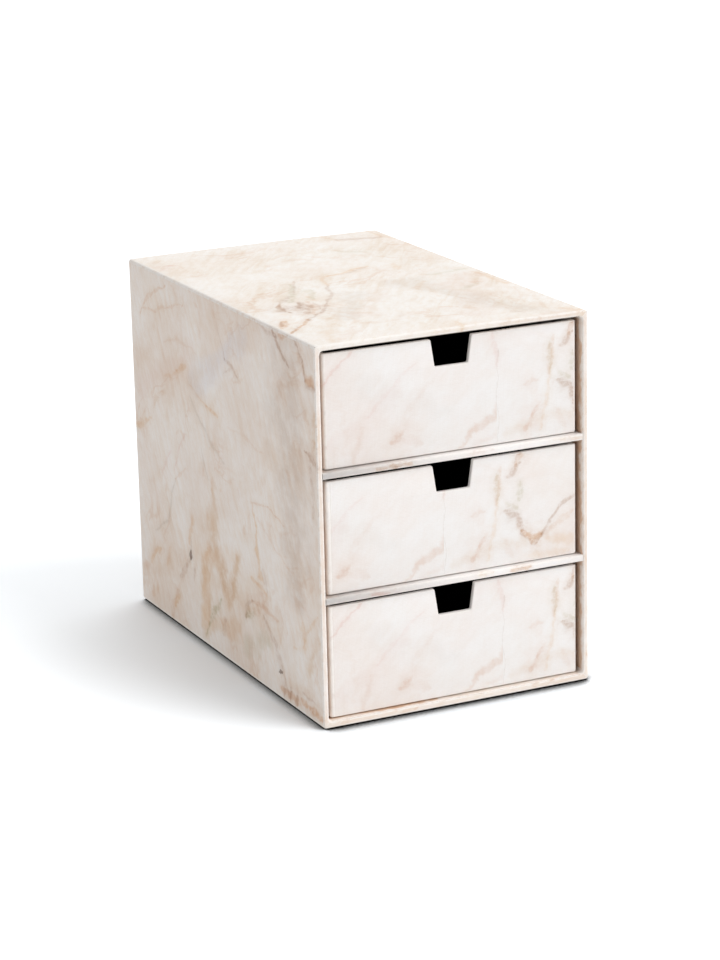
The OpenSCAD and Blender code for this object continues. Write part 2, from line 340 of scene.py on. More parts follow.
# On the top: distance from the front edge, and from the left edge
topVeins = {
    "smoke": [(0.15, (16, 118, 26), (104, 96, 24)), (0.15, (40, 36, 17), (90, 62, 17))],
    "peach": [
        (0.16, (100, 128, 24), (20, 96, 26)), (0.1, (88, 74, 17), (44, 50, 17)),
        (0.16, (6, 18, 7), (24, 32, 8)), (0.14, (-2, 100, 12), (2, 146, 12)),
    ],
    "sand": [(0.28, (4, 12, 12), (44, 28, 14))],
    "umber": [
        (0.52, (62, 27, 4.6), (73, 30, 4.7), (84, 31, 4.7)), (0.3, (66, 24, 4.4), (82, 24, 4.4)),
        (0.34, (28, 2, 1.6), (42, 12, 1.7)), (0.36, (44, 3, 1.6), (53, 7, 1.8)),
        (0.5, (48, 19, 2.4), (62, 34, 2.2), (76, 42, 2.3)),
        (0.36, (76, 42, 2), (92, 52, 2), (112, 59, 1.9)),
        (0.72, (66, 20, 2.2), (76, 19, 3.8), (88, 23, 3.4)), (0.38, (88, 23, 2.6), (100, 32, 2.2)),
        (0.34, (70, 26, 1.8), (84, 30, 1.6)), (0.3, (68, 35, 1.6), (80, 37, 1.5)),
        (0.24, (104, 37, 1.6), (130, 51, 1.6)), (0.22, (132, 76, 1.5), (141, 94, 1.6)),
        (0.28, (10, 114, 2.2), (15, 109, 2.2)), (0.34, (207, 136, 3.6), (212, 112, 3.4)),
        (0.12, (28, 58, 2), (42, 66, 2)),
    ],
    "rust": [
        (0.6, (25, -2, 1.9), (40, 13, 2.3), (50, 20, 2.4)), (0.58, (40, 2, 3.6), (54, 9, 4.2)),
        (0.3, (58, 28, 3), (74, 33, 3.4), (84, 36, 2.6)), (0.14, (60, 96, 2.2), (84, 102, 2.2)),
        (0.16, (12, 128, 1.8), (56, 142, 2)), (0.14, (30, 126, 1.6), (64, 138, 1.6)),
    ],
    "olive": [
        (0.36, (88, 28, 3.8), (99, 34, 3.6)), (0.28, (88, 40, 7), (108, 46, 6)),
        (0.3, (100, 34, 2.8), (124, 46, 3.4)), (0.24, (68, 118, 6), (80, 128, 5)),
        (0.24, (109, 112, 3), (113, 138, 3.2)), (0.18, (174, 112, 4.4), (184, 100, 4.4)),
    ],
    "ochre": [
        (0.24, (84, 40, 4), (96, 40, 3.6)), (0.32, (112, 59, 2.2), (126, 65, 2.6), (132, 71, 3.2)),
        (0.4, (130, 70, 3.2), (139, 84, 3.4), (143, 96, 3.2)), (0.28, (129, 107, 4.4), (142, 111, 3.6)),
        (0.18, (82, 95, 4), (96, 104, 3.4)), (0.32, (72, 138, 3.4), (102, 138, 3.2)),
        (0.28, (-3, 75, 4), (10, 78, 3.6)), (0.26, (-2, 141, 4), (10, 134, 3.4)),
        (0.24, (200, 139, 3.4), (226, 138, 3.6)), (0.22, (210, 112, 3), (224, 108, 2.6)),
    ],
    "rose": [(0.14, (188, 3, 4.5), (200, 12, 4))],
}

# On the case's right face and back, in the same way, with generic veins
sideVeins = {
    "sand": [(0.24, (60, 90, 26), (120, 40, 30)), (0.16, (10, 150, 20), (50, 120, 22))],
    "rose": [(0.1, (150, 150, 24), (210, 90, 24)), (0.2, (30, 70, 1.8), (60, 40, 1.8))],
    "olive": [(0.14, (180, 40, 12), (205, 22, 10)), (0.34, (140, 24, 2.8), (166, 8, 3.2))],
    "rust": [
        (0.34, (20, 160, 1.5), (48, 148, 2), (66, 124, 1.8)), (0.28, (156, 122, 1.8), (190, 110, 1.5)),
        (0.5, (-1, 14, 4.2), (24, 11, 4), (52, 10, 3.6)), (0.3, (212, 160, 2), (227, 136, 1.7)),
    ],
    "ochre": [(0.44, (66, 124, 1.8), (72, 98, 3), (70, 84, 6)), (0.44, (140, 128, 3.6), (156, 122, 3.4))],
    "umber": [(0.38, (70, 80, 2), (96, 66, 2.8), (104, 44, 3.6)), (0.42, (186, 176, 1.9), (212, 160, 2.4))],
    "soot": [(0.75, (104, 45, 2), (106, 41, 1.6))],
    "smoke": [(0.24, (120, 96, 1.8), (160, 70, 2.4))],
    # painted warm shade on the turned-in sheet just behind the front edge, where the gaps beside the drawers
    # lie in shade
    "turnInShade": [(0.62, (-8.4, -60, 4.7), (-8.4, 250, 4.7))],
}

# On a drawer's front: distance from the middle of the print, and height above the drawer's bottom.
# The first list ends sharply at the print's own join, the second crosses it.
joinPlace = 23.5
leftOfJoinVeins = {
    "peach": [(0.3, (2, 1, 3.6), (12, 10, 4.6), (26, 18, 5.6)), (0.12, (15, 2, 4), (26, 7, 4.4))],
}
drawerVeins = {
    "rose": [
        (0.06, (-60, 10, 14), (-30, 30, 16)), (0.24, (-67, 39, 1.6), (-58, 47, 1.8), (-50, 56, 1.6)),
        (0.11, (-43, 23, 2.4), (-31, 35, 2.6), (-20, 44, 1.8)), (0.16, (21, 55, 2.2), (24, 38, 1.8)),
        (0.2, (-160, 48, 1.8), (-200, 22, 1.8)),
    ],
    "smoke": [
        (0.05, (-45, 35, 14), (-5, 20, 12)), (0.2, (23.5, 46, 0.4), (23.7, 20, 0.36), (23.5, 0, 0.36)),
        (0.22, (150, 44, 1.8), (200, 26, 2)),
    ],
    "sand": [(0.14, (28, 5, 8), (64, 12, 9))],
    "peach": [
        (0.1, (-24, 20, 3), (-12, 34, 2.6)), (0.36, (-31, 9, 3.6), (-25, 13, 3.8)),
        (0.12, (-26, 12, 5), (-15, 6, 3.5)), (0.15, (-46, 18, 3), (-52, 1, 3)),
        (0.4, (39, 5, 4.2), (45, 15, 4)), (0.22, (38, 26, 2.4), (44, 28, 2.2)),
        (0.14, (56, 12, 3), (60, 3, 3)),
    ],
    "ochre": [
        (0.22, (48, 3, 1.8), (51, 26, 1.8), (54, 43, 1.8)), (0.28, (80, 12, 6), (96, 8, 9)),
        (0.2, (70, 3, 4.6), (90, 3, 4.6)), (0.34, (128, 30, 2.8), (160, 18, 4.6)),
        (0.3, (-112, 24, 3.4), (-140, 14, 4.4)),
    ],
    "rust": [
        (0.26, (51, 31, 2.6), (55, 50, 2.8)), (0.42, (66, 57, 3), (64, 48, 3.6)),
        (0.66, (65, 16, 3.6), (70, 12, 4.4), (76, 14, 3.6)), (0.22, (82, 16, 3), (94, 22, 3.4)),
        (0.32, (112, 50, 1.8), (128, 30, 2.4)),
    ],
    "olive": [
        (0.22, (53, 46, 2.2), (52, 33, 2)), (0.34, (66, 40, 3.2), (64, 31, 3.4)),
        (0.26, (57, 31, 2.6), (63, 28, 2.8)),
    ],
    "umber": [
        (0.4, (60, 44, 3), (66, 49, 2.8)), (0.3, (66, 56, 1.6), (63, 50, 1.6)),
        (0.48, (56, 27, 3), (62, 25, 3.4)), (0.5, (63, 22, 3), (65, 16, 3)),
        (0.34, (64, 15, 1.8), (71, 10, 2), (77, 14, 1.8)),
        (0.44, (77, 14, 2.2), (82, 22, 1.9), (87, 26, 1.6), (98, 30, 1.4)),
        (0.32, (-96, 46, 1.8), (-112, 24, 2.6)),
    ],
}

# On the shelves' front edges: distance along the shelf, and down from its upper fold
shelfVeins = {
    "upper": {
        "rust": [(0.46, (-41, -1.5, 3.4), (-24, -1.5, 3.4))],
        "umber": [(0.4, (-38, -3, 1.8), (-28, -2, 1.6))],
        "ochre": [(0.3, (54, -1.5, 3.4), (68, -1.5, 3.4))],
        "peach": [(0.18, (8, -1.5, 3), (20, -1.5, 3))],
    },
    "lower": {
        "rust": [(0.5, (30, -1.5, 3.4), (40, -1.5, 3))],
        "umber": [(0.4, (33, -2.5, 1.6), (37, -0.5, 1.6))],
        "rose": [(0.34, (-46, -1.5, 3), (-36, -1.5, 3))],
        "ochre": [(0.28, (12, -1.5, 2.6), (19, -1.5, 2.6))],
    },
}


def veinsBetween(veins, low, high):
    # the veins that reach a stretch of the sheet, so that its material holds no others
    margin = 8

    def reaches(points):
        return (min(p[0] - p[2] for p in points) < high + margin
                and max(p[0] + p[2] for p in points) > low - margin)
    return {ink: [vein for vein in lines if reaches(vein[1:])] for ink, lines in veins.items()}


leftGround = {
    "White": "#F8F2ED", "Rose": "#F1E5DC", "Sand": "#F1E2D1", "Rose Amount": 0.75, "Sand Amount": 0.3,
    "Streak Angle": -1.1, "Streak Amount": 0.4, "Filaments": 0.2, "Mottle": 0.28,
}
topGround = {
    "White": "#F9F6F2", "Rose": "#F5ECE4", "Sand": "#F0E4D5", "Rose Amount": 0.5, "Sand Amount": 0.28,
    "Streak Angle": -0.6, "Streak Amount": 0.55, "Filaments": 0.22, "Mottle": 0.28,
}
drawerGround = {
    "White": "#F4F2F1", "Rose": "#F2E9E4", "Sand": "#F2E8DE", "Rose Amount": 0.6, "Sand Amount": 0.15,
    "Streak Angle": -0.8, "Streak Amount": 0.1, "Filaments": 0.05, "Mottle": 0.1,
}
# each paper's ground and veins, and where the print's own zero lies on its sheet (mm)
paperLooks = {
    "case_left_front": (leftGround, veinsBetween(leftVeins, -20, 113), (0, 0)),
    "case_left_back": (leftGround, veinsBetween(leftVeins, 113, 226), (0, 0)),
    "case_top": (topGround, topVeins, (0, 185)),
    "case_side": (leftGround, sideVeins, (0, 0)),
    "drawer": (drawerGround, drawerVeins, (0, 0)),
    "upper_shelf": (drawerGround, shelfVeins["upper"], (0, 0)),
    "lower_shelf": (drawerGround, shelfVeins["lower"], (0, 0)),
}
# how far each kind of stain wanders, and the scale and range in which its ink gathers
printLayers = {"fine": (3.4 * mm, 280, (0.40, 0.58)), "wide": (7.5 * mm, 95, (0.34, 0.62))}
wideFrom = 4.8     # half width (mm) from which a stain wanders and clouds more than a vein
taper = 0.6        # how much of its width a stain keeps at its ends
bellyShare = 0.45  # how much wider a short vein is in its middle


def layVeins(tree, colour, layers, veins):
    for inkName, lines in veins.items():
        for vein in lines:
            colour = layVein(tree, colour, layers, inks[inkName], *vein)
    return colour


def layVein(tree, colour, layers, ink, strength, *points):
    inkColour, soft, grain, halo = ink
    wide = max(p[2] for p in points) > wideFrom
    place, speckle, spread = layers["wide" if wide else "fine"]
    # a minute share of the colour makes each vein wait for the one before it, as in veinStretch
    place = vectorCalc(tree, "MULTIPLY_ADD", colour, (1e-9, 1e-9, 0), place)
    widths = [p[2] * mm for p in points]
    belly = 0.0
    if len(points) == 2 and not wide:
        belly = bellyShare * (widths[0] + widths[1]) / 2
    widths[0], widths[-1] = widths[0] * taper, widths[-1] * taper
    mask = 0.0
    for i, (start, end) in enumerate(zip(points, points[1:])):
        mask = useGroup(tree, stretchGroup, {
            "Mask": mask, "Place": place, "Start": (start[0] * mm, start[1] * mm, 0),
            "End": (end[0] * mm, end[1] * mm, 0), "Start Width": widths[i], "End Width": widths[i + 1],
            "Belly": belly, "Spread": spread, "Softness": soft, "Halo": 0.0 if wide else halo,
        })["Mask"]
    return useGroup(tree, inkGroup, {
        "Color": colour, "Mask": mask, "Speckle": speckle,
        "Ink": inkColour, "Strength": strength, "Grain": grain,
    })["Color"]


def startMaterial(name):
    material = bpy.data.materials.new(name)
    material.use_nodes = True
    return material, material.node_tree


def finishShader(tree, colour, roughness, height, strength, depth):
    # strength and depth are those of the relief
    bump = addNode(tree, "Bump", {"Strength": strength, "Distance": depth, "Height": height}).outputs[0]
    feeds = {"Base Color": colour, "Roughness": roughness, "Specular IOR Level": 0.3, "Normal": bump}
    for name, value in feeds.items():
        feed(tree.nodes["Principled BSDF"].inputs[name], value)


linenLook = {
    "pitch": 0.68 * mm,
    "depth": 0.04 * mm,
    "strength": 0.55,
    "cockle": 4.0,            # how far the sheet's own unevenness adds to the threads
    "hollowShade": "#CDBFB4",      # painted shade in the hollows between the threads
    "hollowShadeAmount": 0.16,
    "unevenness": 0.8,        # sway of the threads, in threads
    "rubbedAndHighlit": 0.75,           # wear along the folds, and a painted highlight on the rounded edges
    "fibre": "#FBF7F3",       # what shows where the print is worn, and the colour of the painted edge highlight
}


def makeMarblePaper(name, ground, veins, start):
    material, tree = startMaterial("marble_paper_" + name)
    sheet = addNode(tree, "UVMap", uv_map="sheet").outputs[0]
    place = vectorCalc(tree, "SUBTRACT", sheet, (start[0] * mm, start[1] * mm, 0))
    layers = {}
    for kind, (wander, scale, gather) in printLayers.items():
        wandering = useGroup(tree, wanderGroup, {"Place": place, "Amount": wander})["Place"]
        speckle = ramp(tree, noise(tree, place, scale, 5, 0.68), *gather)
        spread = ramp(tree, noise(tree, place, scale * 0.4, 2, 0.6), 0.3, 0.7, 0.55, 1.35)
        layers[kind] = (wandering, speckle, spread)
    colour = useGroup(tree, groundGroup, {"Place": place, **ground})["Color"]
    if name == "drawer":
        clear = colour
        colour = layVeins(tree, colour, layers, leftOfJoinVeins)
        across = addNode(tree, "SeparateXYZ", {0: place}).outputs[0]
        pastJoin = calc(tree, "GREATER_THAN", across, joinPlace * mm)
        colour = blendColour(tree, pastJoin, colour, clear)
    colour = layVeins(tree, colour, layers, veins)
    fold = addNode(tree, "Attribute", attribute_name="fold").outputs["Fac"]
    # paler rounded folds: rubbing, and a painted highlight on the edges
    rubbedAndHighlit = useGroup(tree, foldGroup, {
        "Color": colour, "Fold": fold, "Place": sheet,
        "Fibre And Highlight": linenLook["fibre"], "Amount": linenLook["rubbedAndHighlit"],
    })
    linen = useGroup(tree, linenGroup, {
        "Place": sheet, "Pitch": linenLook["pitch"], "Unevenness": linenLook["unevenness"],
    })
    cockle = product(tree, noise(tree, sheet, 60, 3, 0.5), linenLook["cockle"])
    height = calc(tree, "ADD", linen["Height"], cockle)
    # painted shade: the hollows of the linen are darkened in colour
    paintedHollowShade = product(tree, linen["Hollows"], linenLook["hollowShadeAmount"])
    colour = blendColour(tree, paintedHollowShade, rubbedAndHighlit["Color"], linenLook["hollowShade"], "MULTIPLY")
    rough = ramp(tree, noise(tree, sheet, 900), 0.3, 0.7, 0.55, 0.7)
    rough = calc(tree, "ADD", rough, product(tree, rubbedAndHighlit["Worn"], 0.15))
    finishShader(tree, colour, rough, height, linenLook["strength"], linenLook["depth"])
    return material


def makeDarkPaper():
    # near-black paper for the linings and covers; its darkness also stands in for the deep shade seen
    # through the notches and gaps
    material, tree = startMaterial("dark_lining_paper")
    place = addNode(tree, "TexCoord").outputs["Object"]
    fleck = ramp(tree, noise(tree, place, 900, 4, 0.7), 0.35, 0.7)
    cloud = ramp(tree, noise(tree, place, 40, 3), 0.35, 0.65)
    colour = blendColour(tree, fleck, "#242325", "#353336")
    colour = blendColour(tree, product(tree, cloud, 0.4), colour, "#1D1C1E")
    fibre = noise(tree, vectorCalc(tree, "MULTIPLY", place, (1, 0.25, 1)), 1400, 3, 0.6)
    finishShader(tree, colour, ramp(tree, fleck, 0, 1, 0.78, 0.92), fibre, 0.4, 0.06 * mm)
    return material


def makeGreyboard():
    material, tree = startMaterial("greyboard")
    place = addNode(tree, "TexCoord").outputs["Object"]
    pulp = noise(tree, place, 260, 5, 0.7)
    fleck = ramp(tree, noise(tree, place, 1500, 3, 0.7), 0.52, 0.72)
    colour = blendColour(tree, ramp(tree, pulp, 0.35, 0.65), "#8E877D", "#A9A298")
    colour = blendColour(tree, product(tree, fleck, 0.5), colour, "#6E675F")
    finishShader(tree, colour, ramp(tree, pulp, 0, 1, 0.84, 0.96), pulp, 0.5, 0.1 * mm)
    return material


papers = {name: makeMarblePaper(name, *look) for name, look in paperLooks.items()}
casePapers = [papers[name] for name in ("case_left_front", "case_left_back", "case_top", "case_side")]
darkPaper = makeDarkPaper()
greyboard = makeGreyboard()
print("materials made")


# ---- mesh helpers ----

def boxBetween(low, high):
    bm = bmesh.new()
    place = Matrix.Translation((low + high) / 2) @ Matrix.Diagonal((*(high - low), 1))
    bmesh.ops.create_cube(bm, size=1, matrix=place)
    return bm


def facesFacing(bm, *directions):
    bm.normal_update()
    return [f for f in bm.faces if any(f.normal.dot(Vector(d)) > 0.99 for d in directions)]


def removeFaces(bm, faces):
    bmesh.ops.delete(bm, geom=faces, context="FACES")


def edgesAlong(bm, axis, test=lambda middle: True):
    found = []
    for edge in bm.edges:
        start, end = [v.co for v in edge.verts]
        if abs(end[axis] - start[axis]) > 0.999 * edge.calc_length() and test((start + end) / 2):
            found.append(edge)
    return found


def edgesIn(bm, test):
    return [e for e in bm.edges if all(test(v.co) for v in e.verts)]


def edgesAt(bm, axis, level):
    return edgesIn(bm, lambda co: abs(co[axis] - level) < 1e-6)


def cornersOf(part):
    return [v.co for v in part.verts] if hasattr(part, "verts") else [part.co]


def everything(bm):
    return bm.verts[:] + bm.edges[:] + bm.faces[:]


def partsIn(bm, test):
    return [part for part in everything(bm) if all(test(co) for co in cornersOf(part))]


def cutAcross(bm, parts, place, across):
    bmesh.ops.bisect_plane(bm, geom=parts, dist=1e-6, plane_co=place, plane_no=across)


def unit(axis):
    return Vector([1 if a == axis else 0 for a in range(3)])


def sharpOnes(edges, angle):
    return [e for e in edges if len(e.link_faces) == 2 and e.calc_face_angle() > angle]


def rounded(bm, edges, radius, segments):
    bmesh.ops.bevel(bm, geom=edges, offset=radius, offset_type="OFFSET", segments=segments,
                    profile=0.5, material=-1, affect="EDGES")


def openMiddle(bm, direction, border):
    # leaves only a border of a flat side, which a cover sheet closes
    side = Vector(direction)
    faces = [f for f in facesFacing(bm, direction) if abs(f.normal.dot(side)) > 0.9999]
    level = max(f.calc_center_median().dot(side) for f in faces)

    def onSide(co):
        return abs(co.dot(side) - level) < 1e-6

    spots = [v.co.copy() for v in bm.verts if onSide(v.co)]
    lines = []
    for axis in (a for a in range(3) if abs(side[a]) < 0.5):
        ends = (min(co[axis] for co in spots), max(co[axis] for co in spots))
        lines.append((axis, ends[0] + border[axis], ends[1] - border[axis]))
        for place in lines[-1][1:]:
            cutAcross(bm, partsIn(bm, onSide), unit(axis) * place, unit(axis))
    gone = [f for f in bm.faces if all(onSide(v.co) for v in f.verts)
            and all(start < f.calc_center_median()[axis] < end for axis, start, end in lines)]
    removeFaces(bm, gone)


def extrudedRim(bm, edges, move):
    # draws new faces out of a row of edges and puts each new vertex where move says
    for part in bmesh.ops.extrude_edge_only(bm, edges=edges)["geom"]:
        if isinstance(part, bmesh.types.BMVert):
            part.co = move(part.co)


def addObject(name, data):
    made = bpy.data.objects.new(name, data)
    bpy.context.scene.collection.objects.link(made)
    return made


def finishPiece(bm, name, body, materials, replaced, unfold, pickMaterial=None, thickness=None):
    # gives a mesh its sheet coordinates, its folds and its materials, and hands it to the frame
    bmesh.ops.recalc_face_normals(bm, faces=bm.faces)
    sheet = bm.loops.layers.uv.new("sheet")
    foldLayer = bm.loops.layers.float.new("fold")
    bm.normal_update()
    for face in bm.faces:
        middle = face.calc_center_median()
        flat = max(abs(part) for part in face.normal) > 0.995
        face.smooth = True
        if pickMaterial:
            face.material_index = pickMaterial(middle, face.normal)
        for loop in face.loops:
            loop[sheet].uv = unfold(loop.vert.co, middle, face.normal)
            loop[foldLayer] = 0.0 if flat else 1.0
    mesh = bpy.data.meshes.new(name)
    bm.to_mesh(mesh)
    bm.free()
    for material in materials:
        mesh.materials.append(material)
    mesh.set_sharp_from_angle(angle=math.radians(34))
    piece = addObject(name, mesh)
    if thickness:
        solid = piece.modifiers.new("paper", "SOLIDIFY")
        solid.thickness = thickness
        solid.offset = -1
        solid.use_even_offset = False
    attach(piece, body)
    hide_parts(*replaced)
    return piece


# ---- the case's paper ----

caseLook = {
    "edgeRadius": 1.5 * mm,       # the four long edges
    "frontRadius": 0.9 * mm,      # the wrapped front edges
    "cornerRadius": 1.7 * mm,     # paper bridging the opening's corners
    "bow": 0.35 * mm,             # rise of the top between the sides
    "ceilingBow": 0.18 * mm,
    "seamDepth": 0.18 * mm,       # groove where the turned sheet is mitred
    "seamWidth": 0.20 * mm,
    "seamReach": 1.0 * mm,
    "paper": 0.24 * mm,
    "skin": 1.5 * mm,             # a face deeper in than this is on the turned-in sheet
    "cuts": 9,                    # each way, so that the top can bow
}

caseLow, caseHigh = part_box("case_wrap")
openingLow = Vector((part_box("lower_shelf_wrap")[0].x, caseLow.y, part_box("case_floor_lining")[1].z))
openingHigh = Vector((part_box("lower_shelf_wrap")[1].x, caseLow.y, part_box("case_ceiling_lining")[0].z))
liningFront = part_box("case_ceiling_lining")[0].y
border = liningFront - caseLow.y
caseWidth = caseHigh.x - caseLow.x
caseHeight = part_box("case_wrap")[1].z


def rimMover(outer, inner, axes):
    # moves a point of a rounded rectangle (low, high, radius) to the matching point of another
    def knots(box, axis):
        low, high, radius = box
        return [low[axis], low[axis] + radius, high[axis] - radius, high[axis]]

    def move(co):
        moved = co.copy()
        for axis in axes:
            moved[axis] = numpy.interp(co[axis], knots(outer, axis), knots(inner, axis))
        return moved
    return move


def buildCaseWrap(look):
    bm = boxBetween(caseLow, caseHigh)
    rounded(bm, edgesAlong(bm, 1), look["edgeRadius"], 6)
    removeFaces(bm, facesFacing(bm, (0, -1, 0)))
    outer = (caseLow, caseHigh, look["edgeRadius"])
    inner = (openingLow, openingHigh, look["cornerRadius"])
    extrudedRim(bm, edgesAt(bm, 1, caseLow.y), rimMover(outer, inner, (0, 2)))
    innerEdge = [e for e in edgesAt(bm, 1, caseLow.y) if e.is_boundary]
    extrudedRim(bm, innerEdge, lambda co: co + Vector((0, border, 0)))
    bmesh.ops.recalc_face_normals(bm, faces=bm.faces)
    rounded(bm, sharpOnes(edgesAt(bm, 1, caseLow.y), 1), look["frontRadius"], 4)
    foldMitres(bm, look)
    openMiddle(bm, (0, 1, 0), Vector((border, 0, border)))
    openMiddle(bm, (0, 0, -1), Vector((border, border, 0)))
    for i in range(look["cuts"]):
        for axis in range(3):
            place = caseLow.lerp(caseHigh, (i + 1) / (look["cuts"] + 1))
            cutAcross(bm, everything(bm), place, unit(axis))
    for vert in bm.verts:
        rise = look["bow"] * math.cos(math.pi * vert.co.x / caseWidth)
        if vert.co.z > caseHeight - look["edgeRadius"]:
            vert.co.z += rise
        elif vert.co.z > openingHigh.z - 0.5 * mm:
            vert.co.z += min(rise, look["ceilingBow"])
    return bm


def mitreEnds(look):
    # the four lines across the front edge where the turned sheet is mitred, outer end and inner end
    share = 1 - math.sqrt(0.5)
    for x, z in ((-1, -1), (-1, 1), (1, -1), (1, 1)):
        outer, inner = [Vector(((low if x < 0 else high).x, 0, (low if z < 0 else high).z))
                        for low, high in ((caseLow, caseHigh), (openingLow, openingHigh))]
        diagonal = Vector((x, 0, z)) * share
        yield outer - diagonal * look["edgeRadius"], inner - diagonal * look["cornerRadius"]


def foldMitres(bm, look):
    # a shallow groove over the rounded front edge along each mitre
    for outer, inner in mitreEnds(look):
        along = (inner - outer).normalized()
        across = Vector((-along.z, 0, along.x))

        def near(co):
            offset = Vector((co.x, 0, co.z)) - outer
            reach = look["seamReach"]
            return co.y < caseLow.y + reach and offset.length < reach + (inner - outer).length

        for step in (-1, 1, 0):
            cutAcross(bm, partsIn(bm, near), outer + across * step * look["seamWidth"], across)
        bm.normal_update()
        for vert in bm.verts:
            offset = Vector((vert.co.x, 0, vert.co.z)) - outer
            if near(vert.co) and abs(offset.dot(across)) < 1e-6 and vert.co.y < caseLow.y + 0.5 * mm:
                vert.co -= vert.normal * look["seamDepth"]


def caseDepths(spot):
    return {"left": spot.x - caseLow.x, "right": caseHigh.x - spot.x,
            "top": caseHigh.z - spot.z, "base": spot.z - caseLow.z}


def caseUnfold(co, middle, normal):
    # across the sheet from the front edge, and round it from the left face's foot over the top
    if normal.y > 0.9:
        return (co.x - caseLow.x, co.z)
    depths = caseDepths(middle)
    wall = min(depths, key=depths.get)
    inward = caseDepths(co)[wall]
    run = co.y - caseLow.y
    u = run - inward if depths[wall] < caseLook["skin"] else -inward - run
    v = {"left": co.z, "right": co.z, "top": caseHeight + co.x - caseLow.x, "base": caseLow.x - co.x}[wall]
    return (u, v)


def caseMaterial(middle, normal):
    # the number of a face's paper in casePapers
    depths = caseDepths(middle)
    wall = min(depths, key=depths.get)
    if normal.y > 0.9 or depths[wall] > 5 * mm or wall in ("right", "base"):
        return 3
    if wall == "top":
        return 2
    return 0 if middle.y < 0 else 1


finishPiece(buildCaseWrap(caseLook), "case_wrap_sheet", "case",
            casePapers, ["case_wrap"], caseUnfold, caseMaterial, caseLook["paper"])

backLook = {
    "lap": 0.10 * mm,      # how far the middle dips between the turned edges
    "lapWidth": 0.6 * mm,
    "edgeRadius": 0.08 * mm,
    "printShift": 30 * mm,
}


def buildBackCover(look):
    low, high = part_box("case_back_cover")
    low = Vector((low.x, caseHigh.y + 0.01 * mm, low.z))
    bm = boxBetween(low, high)
    outer = facesFacing(bm, (0, 1, 0))[0]
    turned = border - (low.x - caseLow.x)
    for width in (turned, look["lapWidth"]):
        bmesh.ops.inset_region(bm, faces=[outer], thickness=width, use_even_offset=True)
    for vert in outer.verts:
        vert.co.y -= look["lap"]
    rim = edgesIn(bm, lambda co: co.y > high.y - 1e-6
                  and min(co.x - low.x, high.x - co.x, co.z - low.z, high.z - co.z) < 1e-6)
    rounded(bm, rim, look["edgeRadius"], 2)
    return bm


def backUnfold(co, middle, normal):
    return (co.x - caseLow.x + backLook["printShift"], caseHeight - co.z)


finishPiece(buildBackCover(backLook), "case_back_sheet", "case", [papers["case_side"]],
            ["case_back_cover"], backUnfold)
print("case sheets made")


# ---- the shelves' paper ----

shelfLook = {
    "frontRadius": 0.9 * mm,
    "paper": 0.24 * mm,
}


def buildShelfWrap(look, bay):
    low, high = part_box(bay + "_shelf_wrap")
    bm = boxBetween(low, high)
    removeFaces(bm, facesFacing(bm, (0, 1, 0), (1, 0, 0), (-1, 0, 0)))
    front = facesFacing(bm, (0, -1, 0))[0]
    rounded(bm, [e for e in front.edges if len(e.link_faces) == 2], look["frontRadius"], 5)
    return bm


def shelfUnfold(bay):
    low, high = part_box(bay + "_shelf_wrap")

    def unfold(co, middle, normal):
        over = high.z - co.z
        run = co.y - low.y
        return (co.x, run - over if middle.z > (low.z + high.z) / 2 else -over - run)
    return unfold


for bay in ("lower", "upper"):
    finishPiece(buildShelfWrap(shelfLook, bay), bay + "_shelf_sheet", "case",
                [papers[bay + "_shelf"]], [bay + "_shelf_wrap"], shelfUnfold(bay),
                thickness=shelfLook["paper"])
print("shelf sheets made")


# ---- the drawers' paper ----

drawerLook = {
    "edgeRadius": 1.5 * mm,       # upright edges
    "rimRadius": 0.55 * mm,
    "footRadius": 0.7 * mm,
    "notchTop": 21.5 * mm,
    "notchFloor": 17.4 * mm,
    "notchDepth": 13.3 * mm,
    "notchCorner": 0.7 * mm,
    "turnRadius": 0.5 * mm,       # inside corners of the turned-in sheet
    "skin": 1.3 * mm,             # a face deeper in than this is on the turned-in sheet
    "lining": 0.25 * mm,
    "paper": 0.24 * mm,
    "printShift": {"lower": 2 * mm, "middle": -29 * mm, "upper": 0},      # where each is cut from the print
    "lap": {"lower": -64.4 * mm, "middle": -64 * mm},      # where the sheet's end laps the front
    "lapStep": 0.1 * mm,
    "lapWidth": 0.08 * mm,
}


def buildDrawerWrap(look, bay):
    low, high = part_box(bay + "_drawer_wrap")
    liningLow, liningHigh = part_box(bay + "_drawer_lining")
    inset = Vector((look["lining"], look["lining"], 0))
    bm = boxBetween(low, high)
    rounded(bm, edgesAlong(bm, 2), look["edgeRadius"], 6)
    removeFaces(bm, facesFacing(bm, (0, 0, 1)))
    inner = (liningLow + inset, liningHigh - inset, look["turnRadius"])
    extrudedRim(bm, edgesAt(bm, 2, high.z), rimMover((low, high, look["edgeRadius"]), inner, (0, 1)))
    innerRim = [e for e in edgesAt(bm, 2, high.z) if e.is_boundary]
    extrudedRim(bm, innerRim, lambda co: Vector((co.x, co.y, liningHigh.z)))
    bmesh.ops.recalc_face_normals(bm, faces=bm.faces)
    cutNotch(bm, look, low, high, liningLow.y + look["lining"])
    rounded(bm, sharpOnes(edgesAt(bm, 2, low.z), 1), look["footRadius"], 3)
    openMiddle(bm, (0, 0, -1), Vector((border, border, 0)))
    if bay in look["lap"]:
        lapSheet(bm, look, look["lap"][bay], low)
    return bm


